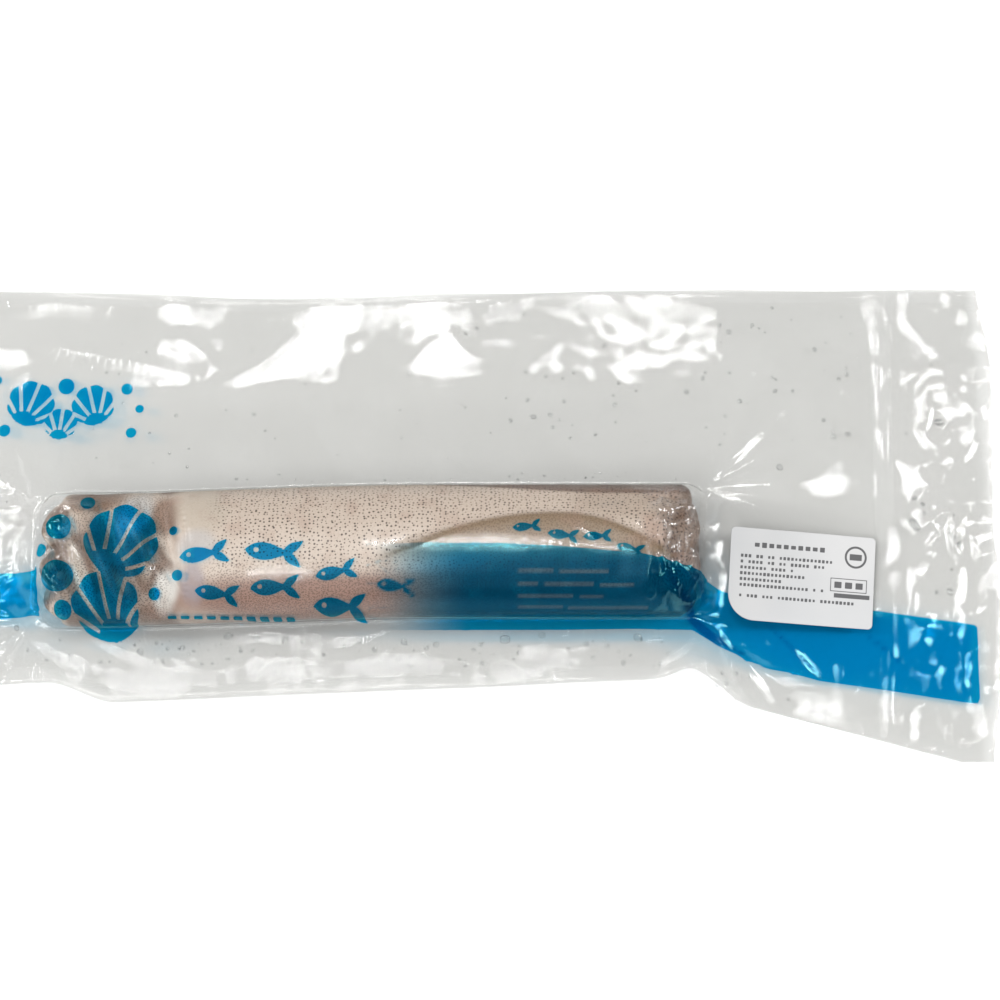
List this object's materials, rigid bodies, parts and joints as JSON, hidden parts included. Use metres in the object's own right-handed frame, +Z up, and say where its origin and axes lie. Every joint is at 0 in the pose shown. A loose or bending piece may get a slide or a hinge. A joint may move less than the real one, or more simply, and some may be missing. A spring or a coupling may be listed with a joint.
{
  "type": "vacuum-packed whole squid",
  "caption": "Whole raw squid folded into a long block and vacuum packed in a clear bag with blue print, welded ends and a white paper sticker, lying flat.",
  "frame": {"origin": "on the table, under the middle of the bag", "axes": "+X along the squid from its head to its tail, +Y across the bag towards its wide margin, +Z up"},
  "size_m": [0.45, 0.1968, 0.0488],
  "materials": {
    "bag_film": "clear glossy film over the squid",
    "label_paper": "smooth white sticker paper",
    "squid_skin": "wet pale skin with fine brown spots",
    "water": "clear drops"
  },
  "bodies": {
    "root": {"sealed_bag": "bag_film", "label": "label_paper"}
  },
  "joints": []
}
